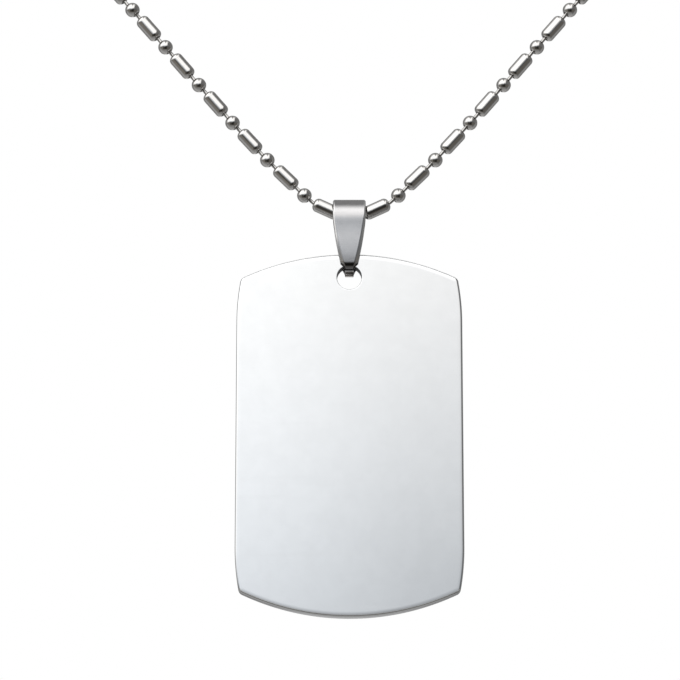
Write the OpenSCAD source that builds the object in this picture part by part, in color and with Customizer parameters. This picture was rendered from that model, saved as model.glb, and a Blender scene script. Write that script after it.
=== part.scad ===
// Identification tag on a ball-and-bar chain: a polished steel tag, the folded bail that
// carries it, the chain with its links, and the clasp that closes the chain at the nape.
// X is the wearer's left, -Y is the front, +Z is up, and the origin is the clasp's centre.

/* [Tag] */
// Width of the tag
tag_w = 31.8; // [24:0.1:40]
// Height of the tag, from the crown of its upper edge to the crown of its lower edge
tag_h = 51.8; // [40:0.1:70]
// Thickness of the tag
tag_t = 2; // [1.2:0.1:3]
// Radius of the upper and lower edges
tag_end_r = 35; // [28:0.5:60]
// Radius on which the long sides lean in to the corners
tag_side_r = 34; // [24:0.5:80]
// Height over which a side leans in, at each end
tag_lean = 6; // [2:0.5:10]
// Radius of the four corners
tag_corner_r = 0.9; // [0.4:0.1:3]
// Bevel along every edge of the tag
tag_bevel = 0.2; // [0.1:0.05:0.4]
// Diameter of the hole
hole_d = 3.5; // [3:0.1:5]
// Bevel on the two rims of the hole
hole_bevel = 0.05; // [0.05:0.05:0.3]
// Steel left between the hole and the crown of the upper edge
hole_margin = 1.65; // [1:0.1:3]

/* [Bail] */
// Width of the bail across its fold
bail_w = 4.65; // [3.5:0.05:7]
// Thickness of the bail's strip
bail_t = 0.5; // [0.4:0.05:0.7]
// Room that the fold has round the chain's balls
bail_room = 0.8; // [0.75:0.05:1.5]
// How far the fold's centre is raised above the centre of the ball inside it
bail_rise = 0.05; // [0:0.05:0.1]
// From the ball inside the fold down to the centre of the tag's hole
bail_drop = 9.2; // [8:0.1:14]
// Width of each leaf where it turns in to the hole
leaf_end_w = 2.5; // [1.6:0.05:3]
// How much narrower than that the rear leaf is
rear_narrowing = 0.55; // [0:0.05:0.6]
// Share of the leaf's taper that comes late, which bows its sides
leaf_bow = 0.45; // [0:0.05:0.6]
// Width of the two tongues that meet in the hole
tongue_w = 1.25; // [0.8:0.05:1.5]
// Room between the top of the hole and the tongues
tongue_room = 0.35; // [0.2:0.05:0.4]
// How much lower the rear tongue lies than the front one
tongue_step = 0.4; // [0:0.05:0.5]
// Inside radius of the bend between a leaf and its tongue
bend_r = 0.7; // [0.5:0.05:0.8]
// Room between the tag's faces and the leaves above their bends
leaf_room = 0.45; // [0.3:0.05:0.5]
// Width of the bevel on the strip's long edges, at the fold
bail_bevel = 0.18; // [0.1:0.01:0.5]
// Width of that bevel where the leaf turns in
leaf_end_bevel = 0.45; // [0.2:0.05:0.5]
// Greatest depth of that bevel, where it is wider than this
bail_bevel_depth = 0.3; // [0.1:0.05:0.3]
// How far along X the bail and the tag hang from the chain's middle ball
bail_shift = -0.3; // [-0.5:0.05:0.5]

/* [Chain] */
// Diameter of the balls
ball_d = 2.1; // [1.9:0.05:2.2]
// Diameter of the bars
bar_d = 2; // [1.9:0.05:2.2]
// Length of the bars
bar_l = 4; // [3.5:0.05:4.5]
// Radius of the bars' shoulders
shoulder_r = 0.7; // [0.5:0.05:0.8]
// Wall of the hollow balls and bars
shell = 0.15; // [0.1:0.01:0.2]
// Length of wire that shows between a ball and a bar, before it is shared out evenly
link_show = 0.75; // [0.5:0.01:1]
// Diameter of the link wire
link_d = 0.5; // [0.4:0.05:0.6]
// Room in the balls' and bars' holes for a link to slant
link_slant = 0.12; // [0.1:0.01:0.14]
// Diameter of the heads on the two ends of each link
head_d = 1.04; // [1:0.01:1.08]
// Thickness of those heads
head_t = 0.17; // [0.12:0.01:0.2]
// How far the two bars beside the bail hang below the line between their balls
first_bar_sag = 0.5; // [0.5:0.05:0.65]

/* [Clasp] */
// Distance between the two end balls inside the clasp
clasp_span = 5; // [4.5:0.1:8]
// Wall of the clasp's sleeve
clasp_wall = 0.3; // [0.2:0.05:0.5]
// Room round the end balls inside the sleeve
clasp_room = 0.15; // [0.12:0.01:0.3]
// Width of the slot along the sleeve
clasp_slot = 0.8; // [0.7:0.05:1]

/* [Hidden] */
$fn = 48;

// Room that loose solids keep between them
gap = 0.1;
// Points that the right half of the chain passes, from the ball in the bail to the clasp
route = [
    [0, -108, -96], [6.8, -108, -92.8], [12, -108, -87.6], [22, -108, -76.2], [31.9, -108, -64.6],
    [43, -106, -51.8], [53.5, -98.5, -39.5], [61, -84, -29], [64, -65, -20.5], [61.5, -43, -13],
    [51, -21, -6.5], [29, -5, -1.5], [0, 0, 0]
];
route_steps = 24;

// Chain geometry, worked out along the route
function turned(p) = [-p.x, p.y, p.z];
function unit(v) = v / norm(v);
function knot(i) =
    i < 0 ? turned(route[-i]) :
    i >= len(route) ? turned(route[2 * len(route) - 2 - i]) :
    route[i];
function span(i) = norm(knot(i + 1) - knot(i));
// Slope of the curve at a knot, from the spans on both sides of it
function slope(i) =
    let (a = span(i - 1), b = span(i))
    ((knot(i) - knot(i - 1)) * b / a + (knot(i + 1) - knot(i)) * a / b) / (a + b);
// Hermite curve between two knots, u from 0 to 1
function between(i, u) =
    let (s = span(i), v = 1 - u)
    knot(i) * (1 + 2 * u) * v * v + slope(i) * s * u * v * v
    + knot(i + 1) * u * u * (3 - 2 * u) - slope(i + 1) * s * u * u * v;
path = [
    for (i = [0 : len(route) - 2], k = [0 : route_steps - 1]) between(i, k / route_steps),
    route[len(route) - 1]
];
steps = len(path);
reach = [for (i = 0, s = 0; i < steps; s = s + norm(path[min(i + 1, steps - 1)] - path[i]), i = i + 1) s];
half_run = reach[steps - 1];
axis_tables = [for (a = [0 : 2]) [for (i = [0 : steps - 1]) [reach[i], path[i][a]]]];
function at(s) = [for (a = [0 : 2]) lookup(s, axis_tables[a])];

balls_a_side = floor((half_run - clasp_span / 2) / (ball_d + bar_l + 2 * link_show) + 0.5);
pitch = (half_run - clasp_span / 2) / balls_a_side;
balls = [for (i = [0 : balls_a_side]) at(i * pitch)];
function bar_axis(i) = unit(balls[i + 1] - balls[i]);
function bar_centre(i) =
    let (u = bar_axis(i), low = [u.z, 0, -u.x])
    (balls[i] + balls[i + 1]) / 2 + (i == 0 ? first_bar_sag * low : [0, 0, 0]);
// Middle of a bar's end wall, where its link passes: e is -1 nearer the bail, 1 nearer the clasp
function bar_eye(i, e) = bar_centre(i) + e * bar_axis(i) * (bar_l - shell) / 2;
// Each link runs from a ball's centre towards a bar's eye: [ball centre, eye]
links = [for (i = [0 : balls_a_side - 1], e = [0, 1]) [balls[i + e], bar_eye(i, 2 * e - 1)]];
// Half the wire, the gap round it and the room for a link to slant where the chain bends
wire_hole_r = link_d / 2 + gap + link_slant;
// Room round a link's head inside a ball, and how far past a bar's eye the other head reaches
head_room = 0.14;
head_reach = 0.75;
// Where a link starts, from the ball's centre
head_seat = sqrt(pow(ball_d / 2 - shell - head_room, 2) - pow(head_d / 2, 2)) - head_t;
shoulder_steps = 6;

// Bail geometry, in the plane across the chain, from the fold's centre: [y, z]
fold_r = ball_d / 2 + bail_room;
hole_top = hole_d / 2 - bail_drop - bail_rise;
tongue_top = hole_top - tongue_room;
bend_y = tag_t / 2 + leaf_room - bend_r;
tongue_bevel = 0.1;
leaf_steps = 12;
bend_steps = 10;
fold_steps = 12;
// Share of a bend that has turned before the tongue widens to the leaf
bend_share = 0.55;
rear_end_w = max(leaf_end_w - rear_narrowing, tongue_w);
function leaf_width(s, end_w) = bail_w + (end_w - bail_w) * (s * (1 - leaf_bow) + s * s * leaf_bow);
function leaf_bevel(s) = bail_bevel + (leaf_end_bevel - bail_bevel) * s;
function front(a) = [-sin(a), -cos(a)];
// Stations of one half, from its tongue's tip to the crown: [point, outward normal, width, bevel]
function bail_half(step, end_w) =
    let (
        bend_z = tongue_top - step + bend_r,
        // Lean of the leaf from upright, tangent to the fold and to the bend
        lean = asin((fold_r - bend_r) / norm([bend_y, bend_z])) - atan(bend_y / -bend_z),
        turn = 90 - lean,
        low = [-bend_y, bend_z] + bend_r * front(turn),
        high = fold_r * front(turn)
    )
    [
        [[-gap / 2, bend_z - bend_r], front(0), tongue_w, tongue_bevel],
        for (k = [0 : bend_steps])
            let (
                a = turn * k / bend_steps,
                s = max(0, (k / bend_steps - bend_share) / (1 - bend_share)),
                w = tongue_w + (end_w - tongue_w) * s,
                b = tongue_bevel + (leaf_end_bevel - tongue_bevel) * s
            )
            [[-bend_y, bend_z] + bend_r * front(a), front(a), w, b],
        for (k = [1 : leaf_steps])
            let (s = k / leaf_steps)
            [low + (high - low) * s, front(turn), leaf_width(1 - s, end_w), leaf_bevel(1 - s)],
        for (k = [1 : fold_steps])
            let (a = turn + (180 - turn) * k / fold_steps)
            [fold_r * front(a), front(a), bail_w, bail_bevel]
    ];
function backed(s) = [[-s[0].x, s[0].y], [-s[1].x, s[1].y], s[2], s[3]];
rear_half = bail_half(tongue_step, rear_end_w);
bail_stations = concat(bail_half(0, leaf_end_w), [for (k = [len(rear_half) - 2 : -1 : 0]) backed(rear_half[k])]);
function bail_ring(s) =
    let (
        w = s[2] / 2,
        side = bail_t - min(s[3], bail_bevel_depth),
        edge = [[-w, 0], [w, 0], [w, side], [w - s[3], bail_t], [s[3] - w, bail_t], [-w, side]]
    )
    [for (e = edge) let (p = s[0] + s[1] * e.y) [e.x, p.x, p.y]];

// Tag geometry, in its own plane: [across, up] from the tag's middle
end_centre_y = tag_h / 2 - tag_end_r;
lean_centre = [tag_w / 2 - tag_side_r, side_top() - tag_lean];
// Height at which the upper arc meets the line of the long sides
function side_top() = end_centre_y + sqrt(pow(tag_end_r, 2) - pow(tag_w / 2, 2));
// Centre of a corner's circle, tangent inside both the end arc and the leaning side
corner = meet([0, end_centre_y], tag_end_r - tag_corner_r, lean_centre, tag_side_r - tag_corner_r);
// Right-hand point where two circles cross, above the line between their centres
function meet(p, a, q, b) =
    let (
        d = norm(q - p),
        u = (q - p) / d,
        x = (a * a - b * b + d * d) / (2 * d),
        h = sqrt(a * a - x * x),
        m = p + u * x,
        n = [-u.y, u.x],
        c1 = m + n * h,
        c2 = m - n * h
    )
    c1.y > c2.y ? c1 : c2;
corner_end = corner + tag_corner_r * unit(corner - [0, end_centre_y]);
corner_side = corner + tag_corner_r * unit(corner - lean_centre);
hole_y = tag_h / 2 - hole_margin - hole_d / 2;

module aim(p, u) {
    translate(p) rotate([0, acos(u.z), atan2(u.y, u.x)]) children();
}

// A plate's disc, bevelled on both rims and centred on its thickness
module bevelled_disc(r) {
    z = tag_t / 2;
    rotate_extrude($fn = 96)
        polygon([[0, -z], [r - tag_bevel, -z], [r, tag_bevel - z], [r, z - tag_bevel], [r - tag_bevel, z], [0, z]]);
}

// Everything left of the tag's right-hand side, which is straight between two leaning arcs
module side_form() {
    x = tag_w / 2;
    z = tag_t / 2;
    far = -2 * tag_side_r;
    for (m = [0, 1]) mirror([0, m, 0]) translate(lean_centre) bevelled_disc(tag_side_r);
    rotate([90, 0, 0]) linear_extrude(2 * lean_centre.y, center = true)
        polygon([[far, -z], [x - tag_bevel, -z], [x, tag_bevel - z], [x, z - tag_bevel], [x - tag_bevel, z], [far, z]]);
}

module corner_cut() {
    out = 2 * tag_corner_r;
    linear_extrude(2 * tag_t, center = true)
        polygon([corner_end, corner_side, corner_side + [out, -out / 2], corner + [out, out] * 2, corner_end + [-out / 4, out]]);
}

module quarters() {
    for (m = [0, 1], n = [0, 1]) mirror([m, 0, 0]) mirror([0, n, 0]) children();
}

module tag_plate() {
    difference() {
        intersection() {
            translate([0, end_centre_y]) bevelled_disc(tag_end_r);
            translate([0, -end_centre_y]) bevelled_disc(tag_end_r);
            side_form();
            mirror([1, 0, 0]) side_form();
        }
        quarters() corner_cut();
    }
    quarters() translate(corner) bevelled_disc(tag_corner_r);
}

module tag_hole() {
    translate([0, hole_y]) {
        cylinder(h = 2 * tag_t, d = hole_d, center = true);
        for (m = [0, 1]) mirror([0, 0, m]) translate([0, 0, tag_t / 2 - hole_bevel])
            cylinder(h = 2 * hole_bevel, d1 = hole_d, d2 = hole_d + 4 * hole_bevel);
    }
}

module tag() {
    color("gainsboro")
        translate([bail_shift, route[0].y, route[0].z - bail_drop - hole_y]) rotate([90, 0, 0])
            difference() {
                tag_plate();
                tag_hole();
            }
}

module bail() {
    sides = 6;
    n = len(bail_stations);
    points = [for (s = bail_stations) each bail_ring(s)];
    walls = [
        for (k = [0 : n - 2], j = [0 : sides - 1])
            let (a = k * sides + j, b = k * sides + (j + 1) % sides)
            each [[a, b, b + sides], [a, b + sides, a + sides]]
    ];
    ends = [[for (j = [sides - 1 : -1 : 0]) j], [for (j = [0 : sides - 1]) (n - 1) * sides + j]];
    color("lightsteelblue")
        translate([bail_shift, route[0].y, route[0].z + bail_rise]) polyhedron(points, concat(walls, ends));
}

// A hollow ball, drilled through along its axis
module ball(centre, axis) {
    aim(centre, axis) difference() {
        sphere(d = ball_d);
        sphere(d = ball_d - 2 * shell);
        cylinder(h = 2 * ball_d, r = wire_hole_r, center = true);
    }
}

// Upper quarter of a bar's outline, grown inwards by the inset, from its side to its open end
function bar_quarter(inset) =
    let (
        s = shoulder_r - inset,
        middle = [bar_d / 2 - shoulder_r, bar_l / 2 - shoulder_r],
        last = acos(max(0, wire_hole_r - middle.x) / s)
    )
    [
        for (k = [0 : shoulder_steps]) let (a = last * k / shoulder_steps) middle + s * [cos(a), sin(a)],
        if (wire_hole_r < middle.x) [wire_hole_r, bar_l / 2 - inset]
    ];
function flipped(list) = [for (k = [len(list) - 1 : -1 : 0]) [list[k].x, -list[k].y]];
function backwards(list) = [for (k = [len(list) - 1 : -1 : 0]) list[k]];

// A hollow bar, open at both ends for its links
module bar(centre, axis) {
    outer = concat(flipped(bar_quarter(0)), bar_quarter(0));
    inner = concat(flipped(bar_quarter(shell)), bar_quarter(shell));
    aim(centre, axis) rotate_extrude() polygon(concat(outer, backwards(inner)));
}

function way(l) = unit(l[1] - l[0]);
// A ball's axis halves the angle between its two links, and the end ball has one link
function ball_axis(i) = unit((i < balls_a_side ? way(links[2 * i]) : [0, 0, 0]) - way(links[2 * i - 1]));

module right_beads() {
    for (i = [1 : balls_a_side]) ball(balls[i], ball_axis(i));
    for (i = [0 : balls_a_side - 1]) bar(bar_centre(i), bar_axis(i));
}

module bead_chain() {
    color("darkgray") {
        ball(balls[0], [1, 0, 0]);
        right_beads();
        mirror([1, 0, 0]) right_beads();
    }
}

module right_links() {
    head_r = head_d / 2;
    wire_r = link_d / 2;
    for (l = links) {
        run = norm(l[1] - l[0]) + head_reach - head_seat;
        aim(l[0] + way(l) * head_seat, way(l)) rotate_extrude()
            polygon([[0, 0], [head_r, 0], [head_r, head_t], [wire_r, head_t],
                     [wire_r, run - head_t], [head_r, run - head_t], [head_r, run], [0, run]]);
    }
}

module chain_links() {
    color("dimgray") {
        right_links();
        mirror([1, 0, 0]) right_links();
    }
}

module clasp() {
    inner_r = ball_d / 2 + clasp_room;
    outer_r = inner_r + clasp_wall;
    inner_l = clasp_span + ball_d + 2 * gap;
    outer_l = inner_l + 2 * clasp_wall;
    color("silver") difference() {
        rotate([0, 90, 0]) cylinder(h = outer_l, r = outer_r, center = true);
        rotate([0, 90, 0]) cylinder(h = inner_l, r = inner_r, center = true);
        rotate([0, 90, 0]) cylinder(h = 2 * outer_l, r = wire_hole_r + 2 * gap, center = true);
        translate([-outer_l, 0, -clasp_slot / 2]) cube([2 * outer_l, outer_r + 1, clasp_slot]);
        rotate([-90, 0, 0]) cylinder(h = outer_r + 1, d = ball_d + 2 * gap);
    }
}

tag();
bail();
bead_chain();
chain_links();
clasp();
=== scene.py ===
"""Polished identification tag, its folded bail and its ball-and-bar chain: finishes, studio and camera."""

import math

import bmesh
import bpy
import numpy as np
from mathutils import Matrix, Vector


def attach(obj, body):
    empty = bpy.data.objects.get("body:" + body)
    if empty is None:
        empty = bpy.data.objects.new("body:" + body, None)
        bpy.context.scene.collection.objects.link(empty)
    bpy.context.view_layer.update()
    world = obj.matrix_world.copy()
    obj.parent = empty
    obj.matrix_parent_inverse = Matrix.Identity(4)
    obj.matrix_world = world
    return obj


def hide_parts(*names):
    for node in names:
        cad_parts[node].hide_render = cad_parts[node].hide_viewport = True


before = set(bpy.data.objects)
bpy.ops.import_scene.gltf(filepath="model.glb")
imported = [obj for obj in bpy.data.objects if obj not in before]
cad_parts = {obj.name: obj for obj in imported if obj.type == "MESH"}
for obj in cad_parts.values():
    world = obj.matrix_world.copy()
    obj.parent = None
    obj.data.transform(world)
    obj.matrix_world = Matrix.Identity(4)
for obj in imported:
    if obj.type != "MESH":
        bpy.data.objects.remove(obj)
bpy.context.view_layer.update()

MM = 0.001

# Sizes of the tag, in millimetres
TAG_W = 31.8
TAG_H = 51.8
TAG_T = 2.0
TAG_END_R = 35.0
TAG_SIDE_R = 34.0
TAG_LEAN = 6.0
TAG_CORNER_R = 0.9
TAG_BEVEL = 0.2
HOLE_D = 3.5
HOLE_BEVEL = 0.05
HOLE_MARGIN = 1.65

# Sizes of the bail
BAIL_W = 4.65
BAIL_T = 0.5
BAIL_ROOM = 0.8
BAIL_RISE = 0.05
BAIL_DROP = 9.2
LEAF_END_W = 2.5
REAR_NARROWING = 0.55
LEAF_BOW = 0.45
TONGUE_W = 1.25
TONGUE_ROOM = 0.35
TONGUE_STEP = 0.4
TONGUE_BEVEL = 0.1
BEND_R = 0.7
BEND_SHARE = 0.55
LEAF_ROOM = 0.45
BAIL_BEVEL = 0.18
LEAF_END_BEVEL = 0.45
BAIL_BEVEL_DEPTH = 0.3
BAIL_SHIFT = -0.3
# Slight tilts of the leaf's face, from hand bending: degrees, share of the way down, and spread
LEAF_TILTS = ((4.5, 0.0, 0.08), (-0.5, 0.19, 0.08), (0.85, 0.5, 0.17), (-2.0, 1.0, 0.15))
# How far the leaf stands out where it leaves the fold, as a share of its length
LEAF_TOP_SWELL = 0.001

# Sizes of the chain
BALL_D = 2.1
BAR_D = 2.0
BAR_L = 4.0
SHOULDER_R = 0.7
SHELL = 0.15
EYE_R = 0.45
LIP = 0.05
LINK_SHOW = 0.75
LINK_D = 0.5
HEAD_D = 1.04
HEAD_T = 0.17
HEAD_ROOM = 0.14
HEAD_REACH = 0.75
FIRST_BAR_SAG = 0.5
CLASP_SPAN = 5.0
GAP = 0.1

# Points that the right half of the chain passes, from the ball in the bail to the clasp
ROUTE = np.array([
    (0, -108, -96), (6.8, -108, -92.8), (12, -108, -87.6), (22, -108, -76.2), (31.9, -108, -64.6),
    (43, -106, -51.8), (53.5, -98.5, -39.5), (61, -84, -29), (64, -65, -20.5), (61.5, -43, -13),
    (51, -21, -6.5), (29, -5, -1.5), (0, 0, 0),
], float)
ROUTE_STEPS = 24

# Finish of the meshes
BALL_SIDES = 24
BAR_SIDES = 24
LINK_SIDES = 14

# Where the bail's colour and roughness change: across the strip in corners, along it in millimetres from a
# tongue's tip. The two bevel bands are painted highlights, the bend band is painted shade, and over the tip
# fade the cut tips turn rougher and get a painted highlight.
LEFT_BEVEL_HIGHLIGHT_BAND = (4.3, 4.8, 5.0, 5.4)
RIGHT_BEVEL_HIGHLIGHT_BAND = (2.4, 2.9, 3.2, 3.6)
TIP_FADE = (0.55, 0.8)
BEND_SHADE_BAND = (0.75, 0.9, 1.5, 1.9)


def unit(v):
    return v / np.linalg.norm(v)


def turned(p):
    return p * (-1, 1, 1)


# The chain's own path, the same rule as in the part's source


def knot(i):
    last = len(ROUTE) - 1
    if i < 0:
        return turned(ROUTE[-i])
    if i > last:
        return turned(ROUTE[2 * last - i])
    return ROUTE[i]


def slope(i):
    before = np.linalg.norm(knot(i) - knot(i - 1))
    after = np.linalg.norm(knot(i + 1) - knot(i))
    rise = (knot(i) - knot(i - 1)) * after / before + (knot(i + 1) - knot(i)) * before / after
    return rise / (before + after)


def between(i, u):
    s = np.linalg.norm(knot(i + 1) - knot(i))
    v = 1 - u
    start = knot(i) * (1 + 2 * u) * v * v + slope(i) * s * u * v * v
    return start + knot(i + 1) * u * u * (3 - 2 * u) - slope(i + 1) * s * u * u * v


def chain_path():
    path = [between(i, k / ROUTE_STEPS) for i in range(len(ROUTE) - 1) for k in range(ROUTE_STEPS)]
    return np.array(path + [ROUTE[-1]])


def right_half():
    """Centres of the balls of the right half, and centre and axis of each of its bars."""
    path = chain_path()
    reach = np.concatenate([[0], np.cumsum(np.linalg.norm(np.diff(path, axis=0), axis=1))])
    run = reach[-1] - CLASP_SPAN / 2
    count = math.floor(run / (BALL_D + BAR_L + 2 * LINK_SHOW) + 0.5)
    stops = np.arange(count + 1) * run / count
    balls = np.stack([np.interp(stops, reach, path[:, a]) for a in range(3)], axis=1)
    bars = []
    for i in range(count):
        axis = unit(balls[i + 1] - balls[i])
        centre = (balls[i] + balls[i + 1]) / 2
        if i == 0:
            centre = centre + FIRST_BAR_SAG * np.array([axis[2], 0, -axis[0]])
        bars.append((centre, axis))
    return balls, bars


BALLS, BARS = right_half()


def links_of_half():
    """Each link as its ball's centre and the eye of its bar."""
    half_bar = (BAR_L - SHELL) / 2
    return [(BALLS[i + e], centre + (2 * e - 1) * half_bar * axis)
            for i, (centre, axis) in enumerate(BARS) for e in (0, 1)]


LINKS = links_of_half()


def ball_axis(i):
    """Halves the angle between the two links of a ball; the last ball has one link."""
    back = unit(LINKS[2 * i - 1][1] - LINKS[2 * i - 1][0])
    if i == len(BALLS) - 1:
        return -back
    ahead = unit(LINKS[2 * i][1] - LINKS[2 * i][0])
    return unit(ahead - back)


# Mesh building


class Pieces:
    """Gathers turned parts into one mesh, in millimetres, with a map of turn and length on it."""

    def __init__(self):
        self.points = []
        self.faces = []
        self.maps = []

    def turn(self, profile, centre, axis, sides, turn_map_r, hollow=False):
        """Turns a profile of (radius, height) about an axis. A hollow profile closes on its own start."""
        axis = unit(np.asarray(axis, float))
        side = unit(np.cross(axis, (0.0, 1.0, 0.0) if abs(axis[1]) < 0.9 else (1.0, 0.0, 0.0)))
        other = np.cross(axis, side)
        base = len(self.points)
        for r, h in profile:
            for k in range(sides):
                a = 2 * math.pi * k / sides
                self.points.append(centre + axis * h + r * (side * math.cos(a) + other * math.sin(a)))
        for j in range(len(profile) if hollow else len(profile) - 1):
            ahead = (j + 1) % len(profile)
            low = base + j * sides
            high = base + ahead * sides
            for k in range(sides):
                n = (k + 1) % sides
                self.faces.append((low + k, low + n, high + n, high + k))
                u0 = 2 * math.pi * turn_map_r * k / sides
                u1 = 2 * math.pi * turn_map_r * (k + 1) / sides
                v0, v1 = profile[j][1], profile[ahead][1]
                self.maps.append(((u0, v0), (u1, v0), (u1, v1), (u0, v1)))

    def make(self, name):
        mesh = bpy.data.meshes.new(name)
        mesh.from_pydata([tuple(p * MM) for p in self.points], [], self.faces)
        layer = mesh.uv_layers.new(name="UVMap")
        layer.data.foreach_set("uv", np.array(self.maps, np.float32).ravel())
        return finished(mesh, name)


def finished(mesh, name):
    """Welds, drops empty faces, smooths and links a mesh as an object."""
    bm = bmesh.new()
    bm.from_mesh(mesh)
    bmesh.ops.remove_doubles(bm, verts=bm.verts, dist=1e-7)
    bmesh.ops.dissolve_degenerate(bm, edges=bm.edges, dist=1e-7)
    bmesh.ops.recalc_face_normals(bm, faces=bm.faces)
    bm.to_mesh(mesh)
    bm.free()
    mesh.polygons.foreach_set("use_smooth", [True] * len(mesh.polygons))
    mesh.update()
    obj = bpy.data.objects.new(name, mesh)
    bpy.context.scene.collection.objects.link(obj)
    return obj


def arc(centre, r, start, end, steps):
    """Points of an arc, angles in degrees."""
    return [(centre[0] + r * math.cos(math.radians(a)), centre[1] + r * math.sin(math.radians(a)))
            for a in np.linspace(start, end, steps + 1)]


def mirrored(upper):
    """A profile closed over its lower half."""
    return [(r, -h) for r, h in reversed(upper)] + upper


def eye_lip(h):
    """The rolled lip of an eye, from the outer surface at height h to the inside of the wall."""
    return [(EYE_R + LIP / 2, h - 0.1 * LIP), (EYE_R, h - 0.6 * LIP), (EYE_R - 0.1 * LIP, h - 1.6 * LIP),
            (EYE_R, h - SHELL)]


def ball_profile():
    r = BALL_D / 2
    rim = EYE_R + LIP
    last = math.degrees(math.acos(rim / r))
    upper = arc((0, 0), r, 0, last, 9)
    return mirrored(upper[1:] + eye_lip(upper[-1][1])) + arc((0, 0), r - SHELL, 60, -60, 4)


def bar_profile():
    r = BAR_D / 2
    middle = (r - SHOULDER_R, BAR_L / 2 - SHOULDER_R)
    rim = EYE_R + LIP
    last = math.degrees(math.acos((rim - middle[0]) / SHOULDER_R))
    shoulder = arc(middle, SHOULDER_R, 0, last, 8)
    side = [(r, middle[1] * share) for share in (0.3, 0.7, 0.95)]
    inside = [(r - 2 * SHELL, BAR_L / 2 - 1.5 * SHELL), (r - SHELL, middle[1])]
    outside = mirrored(side + shoulder + eye_lip(shoulder[-1][1]))
    return outside + inside + [(q, -h) for q, h in reversed(inside)]


def link_profile(run):
    head_r = HEAD_D / 2
    wire_r = LINK_D / 2
    ease = 0.04
    low = [(0, 0), (head_r - ease, 0), (head_r, ease), (head_r, HEAD_T - ease), (head_r - ease, HEAD_T),
           (wire_r + ease, HEAD_T), (wire_r, HEAD_T + ease), (wire_r, run / 2)]
    return low + [(r, run - h) for r, h in reversed(low[:-1])]


def both_sides(points_and_axes):
    for centre, axis in points_and_axes:
        yield centre, axis
        yield turned(centre), turned(axis)


def build_beads():
    beads = Pieces()
    shape = ball_profile()
    beads.turn(shape, BALLS[0], (1, 0, 0), BALL_SIDES, BALL_D / 2, True)
    for centre, axis in both_sides([(BALLS[i], ball_axis(i)) for i in range(1, len(BALLS))]):
        beads.turn(shape, centre, axis, BALL_SIDES, BALL_D / 2, True)
    shape = bar_profile()
    for centre, axis in both_sides(BARS):
        beads.turn(shape, centre, axis, BAR_SIDES, BAR_D / 2, True)
    return beads.make("beads_and_bars")


def build_links():
    wires = Pieces()
    seat = math.sqrt((BALL_D / 2 - SHELL - HEAD_ROOM) ** 2 - (HEAD_D / 2) ** 2) - HEAD_T
    rows = []
    for ball, eye in LINKS:
        way = unit(eye - ball)
        rows.append((ball + way * seat, way * (np.linalg.norm(eye - ball) + HEAD_REACH - seat)))
    for start, run in both_sides(rows):
        wires.turn(link_profile(np.linalg.norm(run)), start, run, LINK_SIDES, LINK_D / 2)
    return wires.make("link_wires")


# Bail: one strip, from the tip of the front tongue over the fold to the tip of the rear one

# Points of its outline at each corner; on the strip's map a corner and the side after it are 1 wide
STRIP_EDGE = 8


def front(a):
    return np.array([-math.sin(a), -math.cos(a)])


def leaf_width(s, end_w):
    return BAIL_W + (end_w - BAIL_W) * (s * (1 - LEAF_BOW) + s * s * LEAF_BOW)


def leaf_bevel(s):
    return BAIL_BEVEL + (LEAF_END_BEVEL - BAIL_BEVEL) * s


def leaf_swell(share):
    """How far the leaf stands out from a plane, in shares of its length, at a share of its way down."""
    ways = np.linspace(0, 1, 201)
    tilt = sum(t * np.exp(-((ways - at) / wide) ** 2) for t, at, wide in LEAF_TILTS)
    swell = np.concatenate([[0], np.cumsum(np.radians(tilt[1:] + tilt[:-1]) / 400)])
    return np.interp(share, ways, LEAF_TOP_SWELL * (1 - ways) + swell - ways * swell[-1])


def bail_half(step, end_w):
    """From a tongue's tip to the crown: point in (y, z) from the fold's centre, normal, width and bevel."""
    bend_steps, leaf_steps, fold_steps = 18, 44, 26
    fold_r = BALL_D / 2 + BAIL_ROOM
    tongue_top = HOLE_D / 2 - BAIL_DROP - BAIL_RISE - TONGUE_ROOM - step
    bend = np.array([-(TAG_T / 2 + LEAF_ROOM - BEND_R), tongue_top + BEND_R])
    lean = math.asin((fold_r - BEND_R) / np.linalg.norm(bend)) - math.atan(-bend[0] / -bend[1])
    turn = math.pi / 2 - lean
    half = [(np.array([-GAP / 2, tongue_top]), front(0), TONGUE_W, TONGUE_BEVEL)]
    for k in range(bend_steps + 1):
        a = turn * k / bend_steps
        s = max(0, (k / bend_steps - BEND_SHARE) / (1 - BEND_SHARE))
        width = TONGUE_W + (end_w - TONGUE_W) * s
        bevel = TONGUE_BEVEL + (LEAF_END_BEVEL - TONGUE_BEVEL) * s
        half.append((bend + BEND_R * front(a), front(a), width, bevel))
    low = bend + BEND_R * front(turn)
    high = fold_r * front(turn)
    length = np.linalg.norm(high - low)
    for k in range(1, leaf_steps + 1):
        s = k / leaf_steps
        point = low + (high - low) * s + front(turn) * length * leaf_swell(1 - s)
        half.append((point, front(turn), leaf_width(1 - s, end_w), leaf_bevel(1 - s)))
    for a in np.linspace(turn + math.radians(LEAF_TILTS[0][0]), math.pi, fold_steps + 1):
        half.append((fold_r * front(a), front(a), BAIL_W, BAIL_BEVEL))
    return half


def bail_stations():
    """Both halves, the rear one narrower and with its tongue lower."""
    flip = np.array([-1, 1])
    rear = bail_half(TONGUE_STEP, LEAF_END_W - REAR_NARROWING)
    return bail_half(0, LEAF_END_W) + [(p * flip, n * flip, w, b) for p, n, w, b in reversed(rear[:-1])]


def strip_reach(stations):
    """How far along the strip each station is, in millimetres."""
    steps = [np.linalg.norm(b[0] - a[0]) for a, b in zip(stations, stations[1:])]
    return np.concatenate([[0], np.cumsum(steps)])


STRIP_RUN = strip_reach(bail_stations())[-1]


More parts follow.
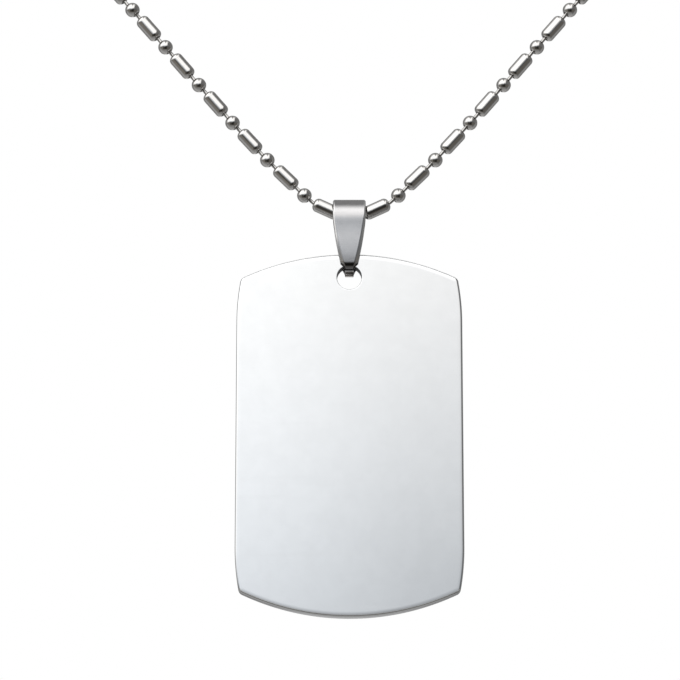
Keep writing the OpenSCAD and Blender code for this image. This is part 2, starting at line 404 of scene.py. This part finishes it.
def eased(corners, eases):
    """Rounds each corner of a closed outline, its own ease long on either side."""
    out = []
    for k, (here, ease) in enumerate(zip(corners, eases)):
        before = unit(corners[k - 1] - here)
        after = unit(corners[(k + 1) % len(corners)] - here)
        out.append(here + before * 1.25 * ease)
        for u in (0, 0.2, 0.4, 0.6, 0.8, 1):
            out.append(here + before * ease * (1 - u) ** 2 + after * ease * u ** 2)
        out.append(here + after * 1.25 * ease)
    return out


def bail_section(width, bevel):
    """Outline of the strip's cross-section, from its inside face to its bevelled outer face."""
    w = width / 2
    side = BAIL_T - min(bevel, BAIL_BEVEL_DEPTH)
    corners = [(-w, 0), (w, 0), (w, side), (w - bevel, BAIL_T), (bevel - w, BAIL_T), (-w, side)]
    return eased([np.array(c, float) for c in corners], [0.03, 0.03, 0.04, min(0.13, 0.45 * bevel),
                                                         min(0.13, 0.45 * bevel), 0.04])


def build_bail():
    origin = ROUTE[0] + (BAIL_SHIFT, 0, BAIL_RISE)
    stations = bail_stations()
    rings = []
    for point, normal, width, bevel in stations:
        for x, depth in bail_section(width, bevel):
            p = point + normal * depth
            rings.append(origin + (x, p[0], p[1]))
    sides = len(bail_section(BAIL_W, BAIL_BEVEL))
    along = strip_reach(stations)
    faces = []
    maps = []
    for k in range(len(stations) - 1):
        for j in range(sides):
            n = (j + 1) % sides
            faces.append((k * sides + j, k * sides + n, (k + 1) * sides + n, (k + 1) * sides + j))
            u0, u1 = j / STRIP_EDGE, (j + 1) / STRIP_EDGE
            maps += [(u0, along[k]), (u1, along[k]), (u1, along[k + 1]), (u0, along[k + 1])]
    faces += [tuple(range(sides - 1, -1, -1)), tuple((len(stations) - 1) * sides + j for j in range(sides))]
    maps += [(0, 0)] * sides + [(0, along[-1])] * sides
    mesh = bpy.data.meshes.new("bail_strip")
    mesh.from_pydata([tuple(p * MM) for p in rings], [], faces)
    layer = mesh.uv_layers.new(name="UVMap")
    layer.data.foreach_set("uv", np.array(maps, np.float32).ravel())
    return finished(mesh, "bail_strip")


# Tag


def meeting(p, a, q, b):
    """Upper point where two circles cross."""
    d = np.linalg.norm(q - p)
    u = (q - p) / d
    x = (a * a - b * b + d * d) / (2 * d)
    h = math.sqrt(a * a - x * x)
    side = np.array([-u[1], u[0]]) * h
    return max((p + u * x + side, p + u * x - side), key=lambda c: c[1])


def tag_outline():
    """Points and outward normals round the tag, in its own plane."""
    end = np.array([0, TAG_H / 2 - TAG_END_R])
    side_top = end[1] + math.sqrt(TAG_END_R ** 2 - (TAG_W / 2) ** 2)
    lean = np.array([TAG_W / 2 - TAG_SIDE_R, side_top - TAG_LEAN])
    corner = meeting(end, TAG_END_R - TAG_CORNER_R, lean, TAG_SIDE_R - TAG_CORNER_R)
    to_end = math.atan2(*(corner - end)[::-1])
    to_lean = math.atan2(*(corner - lean)[::-1])
    quarter = []
    arcs = ((lean, TAG_SIDE_R, 0, to_lean, 8), (corner, TAG_CORNER_R, to_lean, to_end, 10),
            (end, TAG_END_R, to_end, math.pi / 2, 30))
    for centre, r, a0, a1, steps in arcs:
        for a in np.linspace(a0, a1, steps + 1):
            n = np.array([math.cos(a), math.sin(a)])
            quarter.append((centre + r * n, n))
    half = quarter + [(p * (-1, 1), n * (-1, 1)) for p, n in reversed(quarter)]
    whole = half + [(p * (1, -1), n * (1, -1)) for p, n in reversed(half)]
    kept = [whole[0]]
    for row in whole[1:]:
        if np.linalg.norm(row[0] - kept[-1][0]) > 1e-4:
            kept.append(row)
    return kept


def hole_outline(sides=72):
    y = TAG_H / 2 - HOLE_MARGIN - HOLE_D / 2
    rows = []
    for k in range(sides):
        a = 2 * math.pi * k / sides
        n = np.array([math.cos(a), math.sin(a)])
        rows.append((np.array([0, y]) + HOLE_D / 2 * n, -n))
    return rows


def edge_profile(bevel):
    """Inset and height of the rings round an edge, from the front face to the back face."""
    z = TAG_T / 2
    b = bevel
    c = 0.45 * bevel
    diagonal = c / math.sqrt(2)
    upper = [(b + 6 * c, z), (b + c, z), (b + 0.3 * c, z - 0.06 * c), (b - diagonal, z - diagonal),
             (diagonal, z - b + diagonal), (0.06 * c, z - b - 0.3 * c), (0, z - b - c), (0, z - b - 4 * c)]
    return upper + [(i, -h) for i, h in reversed(upper)]


def build_tag():
    bm = bmesh.new()
    hole_y = TAG_H / 2 - HOLE_MARGIN - HOLE_D / 2
    place = ROUTE[0] + (BAIL_SHIFT, 0, -BAIL_DROP - hole_y)
    faces_to_fill = [[], []]
    for outline, bevel in ((tag_outline(), TAG_BEVEL), (hole_outline(), HOLE_BEVEL)):
        rings = []
        for inset, depth in edge_profile(bevel):
            ring = []
            for p, n in outline:
                q = p - n * inset
                ring.append(bm.verts.new((place + (q[0], -depth, q[1])) * MM))
            rings.append(ring)
        for low, high in zip(rings, rings[1:]):
            for k in range(len(low)):
                n = (k + 1) % len(low)
                bm.faces.new((low[k], low[n], high[n], high[k]))
        for face, ring in zip(faces_to_fill, (rings[0], rings[-1])):
            face += [bm.edges.get((ring[k], ring[(k + 1) % len(ring)])) for k in range(len(ring))]
    for edges in faces_to_fill:
        bmesh.ops.triangle_fill(bm, use_beauty=True, edges=edges)
    mesh = bpy.data.meshes.new("tag_plate")
    bm.to_mesh(mesh)
    bm.free()
    return finished(mesh, "tag_plate")


# Materials


class Steel:
    """Builds one steel finish, with its texture in millimetres."""

    def __init__(self, name, colour, coordinates="Object"):
        self.material = bpy.data.materials.new(name)
        self.material.use_nodes = True
        self.tree = self.material.node_tree
        self.shader = self.tree.nodes["Principled BSDF"]
        self.shader.inputs["Metallic"].default_value = 1.0
        self.colour = colour
        place = self.tree.nodes.new("ShaderNodeTexCoord")
        self.place = place.outputs[coordinates]
        self.scale = 1 if coordinates == "UV" else 1 / MM

    def node(self, kind, **settings):
        node = self.tree.nodes.new(kind)
        for key, value in settings.items():
            setattr(node, key, value)
        return node

    def link(self, out, into):
        self.tree.links.new(out, into)

    def noise(self, scale, detail=3.0, stretch=(1, 1, 1), turn=0.0):
        mapping = self.node("ShaderNodeMapping")
        mapping.inputs["Scale"].default_value = [self.scale * scale * s for s in stretch]
        mapping.inputs["Rotation"].default_value = (0, turn, 0)
        self.link(self.place, mapping.inputs["Vector"])
        noise = self.node("ShaderNodeTexNoise")
        noise.inputs["Scale"].default_value = 1.0
        noise.inputs["Detail"].default_value = detail
        noise.inputs["Roughness"].default_value = 0.5
        self.link(mapping.outputs["Vector"], noise.inputs["Vector"])
        return noise.outputs["Fac"]

    def range(self, value, low, high, to_low, to_high):
        node = self.node("ShaderNodeMapRange")
        self.link(value, node.inputs["Value"])
        for key, number in zip(("From Min", "From Max", "To Min", "To Max"), (low, high, to_low, to_high)):
            node.inputs[key].default_value = number
        return node.outputs["Result"]

    def sum(self, a, b, kind="ADD"):
        node = self.node("ShaderNodeMath", operation=kind)
        self.link(a, node.inputs[0])
        self.link(b, node.inputs[1])
        return node.outputs["Value"]

    def zone(self, centre, spread, low, high):
        """1 near a point given in millimetres, 0 far from it; spread weighs the distance along each axis."""
        offset = self.node("ShaderNodeVectorMath", operation="SUBTRACT")
        self.link(self.place, offset.inputs[0])
        offset.inputs[1].default_value = [c * MM for c in centre]
        weighed = self.node("ShaderNodeVectorMath", operation="MULTIPLY")
        self.link(offset.outputs["Vector"], weighed.inputs[0])
        weighed.inputs[1].default_value = [w / MM for w in spread]
        length = self.node("ShaderNodeVectorMath", operation="LENGTH")
        self.link(weighed.outputs["Vector"], length.inputs[0])
        return self.range(length.outputs["Value"], low, high, 1.0, 0.0)

    def strip_map(self):
        """Place across the strip, counted in its corners, and along it in millimetres."""
        place = self.node("ShaderNodeTexCoord")
        split = self.node("ShaderNodeSeparateXYZ")
        self.link(place.outputs["UV"], split.inputs[0])
        return split.outputs["X"], split.outputs["Y"]

    def stretch(self, value, rise, full, fall, end):
        """1 between two values, with a slope on either side."""
        return self.sum(self.range(value, rise, full, 0, 1), self.range(value, fall, end, 1, 0), "MULTIPLY")

    def blend(self, colour, mask, other):
        """Goes over to another colour where the mask is 1."""
        mix = self.node("ShaderNodeMix", data_type="RGBA")
        self.link(mask, mix.inputs["Factor"])
        self.link(colour, mix.inputs["A"])
        mix.inputs["B"].default_value = (*other, 1)
        self.link(mix.outputs["Result"], self.shader.inputs["Base Color"])
        return mix.outputs["Result"]

    def darken(self, colour, mask, share):
        """Multiplies the colour by the share where the mask is 1."""
        mix = self.node("ShaderNodeMix", data_type="RGBA", blend_type="MULTIPLY")
        self.link(mask, mix.inputs["Factor"])
        self.link(colour, mix.inputs["A"])
        mix.inputs["B"].default_value = (share, share, share, 1)
        self.link(mix.outputs["Result"], self.shader.inputs["Base Color"])
        return mix.outputs["Result"]

    def scratches(self, scale, turn, length):
        """Thin hairlines: the narrow crests of a noise drawn out along one direction."""
        lines = self.noise(scale, 2.0, (length, 1, 1), turn)
        return self.range(lines, 0.64, 0.72, 0.0, 1.0)

    def roughness(self, value):
        self.link(value, self.shader.inputs["Roughness"])

    def tint(self, value, spread):
        """The steel's colour, a little darker where the value is low."""
        mix = self.node("ShaderNodeMix", data_type="RGBA")
        self.link(value, mix.inputs["Factor"])
        mix.inputs["A"].default_value = [c * (1 - spread) for c in self.colour] + [1]
        mix.inputs["B"].default_value = list(self.colour) + [1]
        self.link(mix.outputs["Result"], self.shader.inputs["Base Color"])
        return mix.outputs["Result"]

    def bump(self, value, depth_mm):
        bump = self.node("ShaderNodeBump")
        bump.inputs["Strength"].default_value = 1.0
        bump.inputs["Distance"].default_value = depth_mm * MM
        self.link(value, bump.inputs["Height"])
        self.link(bump.outputs["Normal"], self.shader.inputs["Normal"])


def tag_steel():
    """Mirror polish with faint wiping marks and hairlines, satin cut edges and a dull punched hole, with
    painted shade darkening the colour of the cut edges and of the hole's wall.
    """
    s = Steel("mirror_steel", (0.805, 0.81, 0.812))
    wipe = s.range(s.noise(0.12, 3), 0.3, 0.7, 0.045, 0.085)
    hair = s.sum(s.scratches(0.9, 0.5, 0.03), s.scratches(0.7, 1.9, 0.03), "MAXIMUM")
    hole = ROUTE[0] + (BAIL_SHIFT, 0, -BAIL_DROP)
    wall = s.zone(hole, (1, 0, 1), HOLE_D / 2 + 0.02, HOLE_D / 2 + 0.06)
    edge = s.zone(ROUTE[0], (0, 1, 0), TAG_T / 2 - TAG_BEVEL - 0.04, TAG_T / 2 - TAG_BEVEL + 0.02)
    end = ROUTE[0] + (BAIL_SHIFT, 0, -BAIL_DROP + HOLE_D / 2 + HOLE_MARGIN - TAG_END_R)
    rim = s.zone(end, (1, 0, 1), TAG_END_R - 0.15, TAG_END_R - 0.22)
    polish = s.sum(s.sum(wipe, s.range(hair, 0, 1, 0, 0.03)), s.range(rim, 0, 1, 0, 0.7))
    s.roughness(s.sum(polish, s.range(s.sum(edge, wall), 0, 2, 0, 0.36)))
    steel = s.tint(s.range(s.noise(0.5, 4), 0.3, 0.7, 0, 1), 0.03)
    # Painted shade: the cut edge wall is darkened to 0.42 of the steel's colour and the hole's wall further
    # to 0.3; their extra roughness above is the satin finish.
    s.darken(s.darken(steel, edge, 0.42), wall, 0.3)
    s.bump(s.noise(0.05, 1), 0.002)
    return s.material


def bail_steel():
    """Bright polished strip with fine lines from the polishing wheel, painted highlights on its side bevels
    and cut tips, and painted shade in the front tongue's bend.
    """
    s = Steel("bail_steel", (0.61, 0.60, 0.60))
    lines = s.noise(6, 3, (0.12, 1, 1))
    across, along = s.strip_map()
    tip = s.range(along, *TIP_FADE, 1, 0)
    rear_tip = s.range(along, STRIP_RUN - TIP_FADE[1], STRIP_RUN - TIP_FADE[0], 0, 1)
    cut = s.sum(tip, rear_tip)
    s.roughness(s.sum(s.range(lines, 0.3, 0.7, 0.1, 0.17), s.range(cut, 0, 1, 0, 0.25)))
    steel = s.tint(s.range(s.noise(1.2, 4), 0.3, 0.7, 0, 1), 0.06)
    # Painted highlights: the left side bevel goes over to 0.92 and the right side bevel to 0.88.
    steel = s.blend(steel, s.stretch(across, *LEFT_BEVEL_HIGHLIGHT_BAND), (0.92, 0.91, 0.90))
    steel = s.blend(steel, s.stretch(across, *RIGHT_BEVEL_HIGHLIGHT_BAND), (0.88, 0.87, 0.86))
    # Painted highlight: both tongues' cut tips are lightened; their added roughness above is the matte
    # sheared end.
    steel = s.blend(steel, cut, (0.92, 0.89, 0.86))
    # Painted shade: the front tongue's bend is darkened to 0.4 of the strip's colour.
    s.darken(steel, s.stretch(along, *BEND_SHADE_BAND), 0.4)
    s.bump(lines, 0.0012)
    return s.material


def bead_steel():
    """Tumbled steel of the balls and bars: small dents and drawing lines along each piece."""
    s = Steel("bead_steel", (0.715, 0.70, 0.68), "UV")
    drawn = s.noise(9, 3, (1, 0.06, 1))
    tumbled = s.noise(2.2, 4)
    s.roughness(s.range(s.sum(drawn, tumbled), 0.7, 1.3, 0.07, 0.16))
    s.tint(s.range(tumbled, 0.35, 0.65, 0, 1), 0.08)
    s.bump(s.sum(drawn, tumbled), 0.004)
    return s.material


def wire_steel():
    """Drawn bright wire, its colour darkened all over as painted shade between the balls and bars."""
    s = Steel("wire_steel", (0.55, 0.535, 0.515), "UV")
    drawn = s.noise(12, 2, (1, 0.08, 1))
    s.roughness(s.range(drawn, 0.3, 0.7, 0.12, 0.22))
    s.tint(drawn, 0.08)
    s.bump(drawn, 0.002)
    return s.material


def clasp_steel():
    """Rolled strip, fine brushed round the sleeve."""
    s = Steel("clasp_steel", (0.66, 0.66, 0.65))
    brushed = s.noise(10, 3, (1, 0.1, 0.1))
    s.roughness(s.range(brushed, 0.3, 0.7, 0.2, 0.34))
    s.tint(brushed, 0.1)
    s.bump(brushed, 0.003)
    return s.material


def dress(obj, material):
    obj.data.materials.clear()
    obj.data.materials.append(material)
    return obj


def place_piece(obj, material, body, slot, *nodes):
    dress(obj, material)
    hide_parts(*nodes)
    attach(obj, body)


tag_plate = build_tag()
place_piece(tag_plate, tag_steel(), "tag", "tag", "tag")
place_piece(build_bail(), bail_steel(), "bail", "bail", "bail")
place_piece(build_beads(), bead_steel(), "chain", "chain", "bead_chain")
place_piece(build_links(), wire_steel(), "chain", "link_wire", "chain_links")
dress(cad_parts["clasp"], clasp_steel())

# Studio. Angles are in degrees round the X axis: 0 looks out of the tag's face, 90 is up, 180 behind.
# Each row is an angle and the light there in seven sideways directions, from the far left to the far right.

SKY = (
    (-180, 0.28, 0.26, 0.34, 0.62, 0.60, 0.32, 0.26),
    (-168, 0.27, 0.24, 0.32, 0.82, 0.80, 0.30, 0.25),
    (-155, 0.27, 0.24, 0.32, 0.80, 0.78, 0.30, 0.25),
    (-140, 0.34, 0.38, 0.42, 0.42, 0.42, 0.40, 0.32),
    (-118, 0.40, 0.46, 0.48, 0.44, 0.44, 0.46, 0.36),
    (-95, 0.34, 0.38, 0.38, 0.36, 0.36, 0.35, 0.24),
    (-76, 0.26, 0.27, 0.29, 0.31, 0.31, 0.28, 0.16),
    (-58, 0.20, 0.23, 0.22, 0.24, 0.24, 0.21, 0.13),
    (-46, 0.16, 0.21, 0.08, 0.05, 0.05, 0.07, 0.13),
    (-38, 0.15, 0.20, 0.05, 0.01, 0.01, 0.03, 0.13),
    (-12, 0.15, 0.21, 0.05, 0.02, 0.02, 0.03, 0.13),
    (-3, 0.18, 0.32, 0.18, 0.10, 0.07, 0.05, 0.13),
    (3.7, 0.30, 0.56, 0.50, 0.38, 0.30, 0.14, 0.14),
    (6.5, 0.36, 0.74, 0.78, 0.70, 0.51, 0.25, 0.15),
    (9.2, 0.40, 0.90, 1.02, 0.93, 0.63, 0.38, 0.16),
    (11.1, 0.43, 1.00, 1.16, 1.09, 0.80, 0.52, 0.17),
    (13, 0.46, 1.10, 1.25, 1.21, 0.95, 0.70, 0.18),
    (15.3, 0.50, 1.20, 1.32, 1.29, 1.10, 0.88, 0.18),
    (20, 0.55, 1.35, 1.52, 1.62, 1.52, 1.20, 0.18),
    (36, 0.66, 1.60, 1.80, 1.54, 1.52, 1.50, 0.18),
    (46, 0.80, 1.75, 1.88, 1.26, 1.24, 1.55, 0.18),
    (60, 0.95, 1.70, 1.80, 0.68, 0.68, 1.50, 0.18),
    (70, 1.00, 1.45, 1.60, 0.40, 0.40, 1.30, 0.18),
    (80, 1.05, 0.95, 1.05, 0.28, 0.28, 0.90, 0.20),
    (92, 1.05, 0.55, 0.70, 0.30, 0.30, 0.62, 0.20),
    (104, 1.00, 0.38, 0.52, 0.30, 0.30, 0.46, 0.20),
    (116, 0.60, 0.28, 0.30, 0.28, 0.28, 0.26, 0.20),
    (150, 0.28, 0.24, 0.28, 0.34, 0.34, 0.26, 0.22),
    (180, 0.28, 0.26, 0.34, 0.62, 0.60, 0.32, 0.26),
)
BRIGHTEST = 2.0
# Between which two sideways directions each column hands over to the next
BANDS = ((-0.96, -0.90), (-0.75, -0.50), (-0.18, -0.06), (-0.04, 0.04), (0.06, 0.18), (0.36, 0.56))
# The light is tinted between these angles, from none at the ends to full in the middle
COOL_ANGLES = (-6, 1, 9, 15)
COOL = (0.957, 1.0, 1.05)
WARM_ANGLES = (-70, -50, -14, -3)
WARM = (1.06, 1.0, 0.90)
# How far the floor lies below the nape and its radius, in metres, then its grey and its own glow
FLOOR_DEPTH = 2.0
FLOOR_R = 18.0
FLOOR_GREY = 0.85
FLOOR_GLOW = 0.75
# Soft panel low in front that lights the tag alone, so that its face is light from above too: the angles
# from its lower to its upper edge, the point it faces, its distance and width in metres, its power in watts
PANEL_ANGLES = (-36, -7)
PANEL_AIM = (0, -0.109, -0.12)
PANEL_DISTANCE = 1.0
PANEL_W = 2.4
PANEL_POWER = 2.3


def build_sky():
    world = bpy.data.worlds.new("studio_sky")
    bpy.context.scene.world = world
    world.use_nodes = True
    tree = world.node_tree
    nodes, links = tree.nodes, tree.links
    background = nodes["Background"]
    where = nodes.new("ShaderNodeTexCoord")
    split = nodes.new("ShaderNodeSeparateXYZ")
    links.new(where.outputs["Generated"], split.inputs[0])

    def put(value, socket):
        if isinstance(value, (int, float)):
            socket.default_value = value
        else:
            links.new(value, socket)

    def math_node(kind, a, b):
        node = nodes.new("ShaderNodeMath")
        node.operation = kind
        put(a, node.inputs[0])
        put(b, node.inputs[1])
        return node.outputs[0]

    def column(share, index):
        """One column of the table as a curve over the angle."""
        curve = nodes.new("ShaderNodeFloatCurve")
        links.new(share, curve.inputs["Value"])
        points = curve.mapping.curves[0].points
        for _ in range(len(SKY) - 2):
            points.new(0.5, 0.5)
        for point, row in zip(points, SKY):
            point.location = (row[0] / 360 + 0.5, row[index] / BRIGHTEST)
            point.handle_type = "VECTOR"
        curve.mapping.update()
        return math_node("MULTIPLY", curve.outputs["Value"], BRIGHTEST)

    def across(a, b, band):
        """Goes from a to b over a band of sideways directions."""
        step = nodes.new("ShaderNodeMapRange")
        step.interpolation_type = "SMOOTHSTEP"
        links.new(split.outputs["X"], step.inputs["Value"])
        step.inputs["From Min"].default_value, step.inputs["From Max"].default_value = band
        mix = nodes.new("ShaderNodeMix")
        links.new(step.outputs["Result"], mix.inputs["Factor"])
        links.new(a, mix.inputs["A"])
        links.new(b, mix.inputs["B"])
        return mix.outputs["Result"]

    def slope(value, start, end):
        node = nodes.new("ShaderNodeMapRange")
        links.new(value, node.inputs["Value"])
        node.inputs["From Min"].default_value = start
        node.inputs["From Max"].default_value = end
        return node.outputs["Result"]

    toward_face = math_node("MULTIPLY", split.outputs["Y"], -1)
    angle = math_node("DEGREES", math_node("ARCTAN2", split.outputs["Z"], toward_face), 0)
    share = math_node("ADD", math_node("DIVIDE", angle, 360), 0.5)
    light = column(share, 1)
    for index, band in enumerate(BANDS):
        light = across(light, column(share, index + 2), band)

    def tinted(colour, angles, tint):
        shade = nodes.new("ShaderNodeMix")
        shade.data_type = "RGBA"
        rise = slope(angle, *angles[:2])
        fall = slope(angle, *angles[:1:-1])
        links.new(math_node("MULTIPLY", rise, fall), shade.inputs["Factor"])
        if colour:
            links.new(colour, shade.inputs["A"])
        else:
            shade.inputs["A"].default_value = (1, 1, 1, 1)
        shade.inputs["B"].default_value = (*tint, 1)
        return shade.outputs["Result"]

    tint = nodes.new("ShaderNodeVectorMath")
    tint.operation = "SCALE"
    links.new(tinted(tinted(None, COOL_ANGLES, COOL), WARM_ANGLES, WARM), tint.inputs[0])
    links.new(light, tint.inputs["Scale"])
    path = nodes.new("ShaderNodeLightPath")
    seen = nodes.new("ShaderNodeMix")
    seen.data_type = "RGBA"
    links.new(path.outputs["Is Camera Ray"], seen.inputs["Factor"])
    links.new(tint.outputs["Vector"], seen.inputs["A"])
    seen.inputs["B"].default_value = (1, 1, 1, 1)
    links.new(seen.outputs["Result"], background.inputs["Color"])


def build_floor():
    """Pale floor, far enough below for views from under the tag. Only the camera sees it."""
    bm = bmesh.new()
    bmesh.ops.create_circle(bm, cap_ends=True, segments=96, radius=FLOOR_R)
    mesh = bpy.data.meshes.new("floor")
    bm.to_mesh(mesh)
    bm.free()
    floor = bpy.data.objects.new("floor", mesh)
    floor.location = (0, 0, -FLOOR_DEPTH)
    bpy.context.scene.collection.objects.link(floor)
    material = bpy.data.materials.new("pale_floor")
    material.use_nodes = True
    shader = material.node_tree.nodes["Principled BSDF"]
    shader.inputs["Base Color"].default_value = (FLOOR_GREY, FLOOR_GREY, FLOOR_GREY, 1)
    shader.inputs["Roughness"].default_value = 1.0
    shader.inputs["Specular IOR Level"].default_value = 0.0
    shader.inputs["Emission Color"].default_value = (1, 1, 1, 1)
    shader.inputs["Emission Strength"].default_value = FLOOR_GLOW
    dress(floor, material)
    floor.visible_glossy = False
    floor.visible_diffuse = False
    floor.visible_shadow = False


def build_panel(tag):
    """The low panel, linked to the tag."""
    low, high = (math.radians(a) for a in PANEL_ANGLES)
    middle = (low + high) / 2
    data = bpy.data.lights.new("low_panel", "AREA")
    data.shape = "RECTANGLE"
    data.size = PANEL_W
    data.size_y = 2 * PANEL_DISTANCE * math.tan((high - low) / 2)
    data.energy = PANEL_POWER
    panel = bpy.data.objects.new("low_panel", data)
    panel.location = Vector(PANEL_AIM) + PANEL_DISTANCE * Vector((0, -math.cos(middle), math.sin(middle)))
    panel.rotation_euler = (math.pi / 2 + middle, 0, 0)
    bpy.context.scene.collection.objects.link(panel)
    lit = bpy.data.collections.new("lit_by_panel")
    lit.objects.link(tag)
    panel.light_linking.receiver_collection = lit


def build_camera():
    """14 degrees below the tag, looking up at it from 450 mm away."""
    target = Vector((-1.62, -109.0, -114.33)) * MM
    distance = 0.450
    pitch = math.radians(14)
    focal_px = 3201
    frame_px = 680
    data = bpy.data.cameras.new("camera")
    data.sensor_width = 36
    data.sensor_fit = "HORIZONTAL"
    data.lens = 36 * focal_px / frame_px
    data.clip_start = 0.01
    data.clip_end = 20
    camera = bpy.data.objects.new("camera", data)
    camera.location = target + distance * Vector((0, -math.cos(pitch), -math.sin(pitch)))
    camera.rotation_euler = (math.pi / 2 + pitch, 0, 0)
    bpy.context.scene.collection.objects.link(camera)
    bpy.context.scene.camera = camera


build_sky()
build_floor()
build_panel(tag_plate)
build_camera()
bpy.context.scene.view_settings.view_transform = "Standard"
